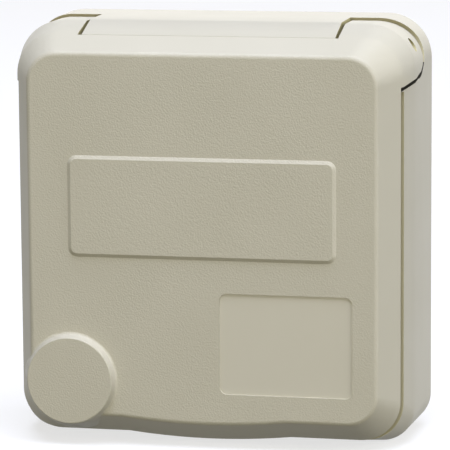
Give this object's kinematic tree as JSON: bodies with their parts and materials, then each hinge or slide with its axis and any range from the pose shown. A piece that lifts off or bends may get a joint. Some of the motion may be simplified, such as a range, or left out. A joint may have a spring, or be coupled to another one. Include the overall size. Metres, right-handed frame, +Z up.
{
  "type": "panel mount socket",
  "caption": "Panel mount socket with a nearly square frame and a sprung hinged lid over a round earthed two-pin plug recess.",
  "frame": {"origin": "middle of the flange's rear face, centre of the four fixing holes, in the plane of the panel", "axes": "+Z up, -Y out of the front of the lid, +X to the right when facing the lid"},
  "size_m": [0.1, 0.049, 0.104],
  "materials": {
    "housing_grey": "moulded, smooth",
    "lid_grey": "moulded, finely grained face",
    "insert_plastic": "moulded, satin",
    "base_plastic": "moulded, satin",
    "seal_rubber": "moulded, dull",
    "contact_brass": "stamped",
    "plated_steel": "zinc plated",
    "pin_steel": "stainless, drawn",
    "spring_steel": "stainless wire"
  },
  "bodies": {
    "housing": {"mounting_frame": "housing_grey", "panel_gasket": "seal_rubber", "insert_gasket": "seal_rubber", "socket_insert": "insert_plastic", "terminal_base": "base_plastic", "earth_strip": "contact_brass", "neutral_contact": "contact_brass", "line_contact": "contact_brass", "neutral_screw": "plated_steel", "line_screw": "plated_steel", "earth_screw": "plated_steel", "insert_screw_1": "plated_steel", "insert_screw_2": "plated_steel", "insert_screw_3": "plated_steel", "insert_screw_4": "plated_steel", "base_screw_1": "plated_steel", "base_screw_2": "plated_steel", "hinge_pin_left": "pin_steel", "hinge_pin_right": "pin_steel", "hinge_spring_left": "spring_steel", "hinge_spring_right": "spring_steel"},
    "lid": {"lid": "lid_grey", "lid_gasket": "seal_rubber"}
  },
  "joints": [
    {"name": "lid_hinge", "type": "hinge", "parent": "housing", "child": "lid", "pos_m": [0, -0.0175, 0.0458], "axis": [-1, 0, 0], "range_deg": [0, 92], "stiffness_Nm_per_rad": 0.02, "springref_deg": -34.38, "deforming": ["hinge_spring_left", "hinge_spring_right"]}
  ]
}
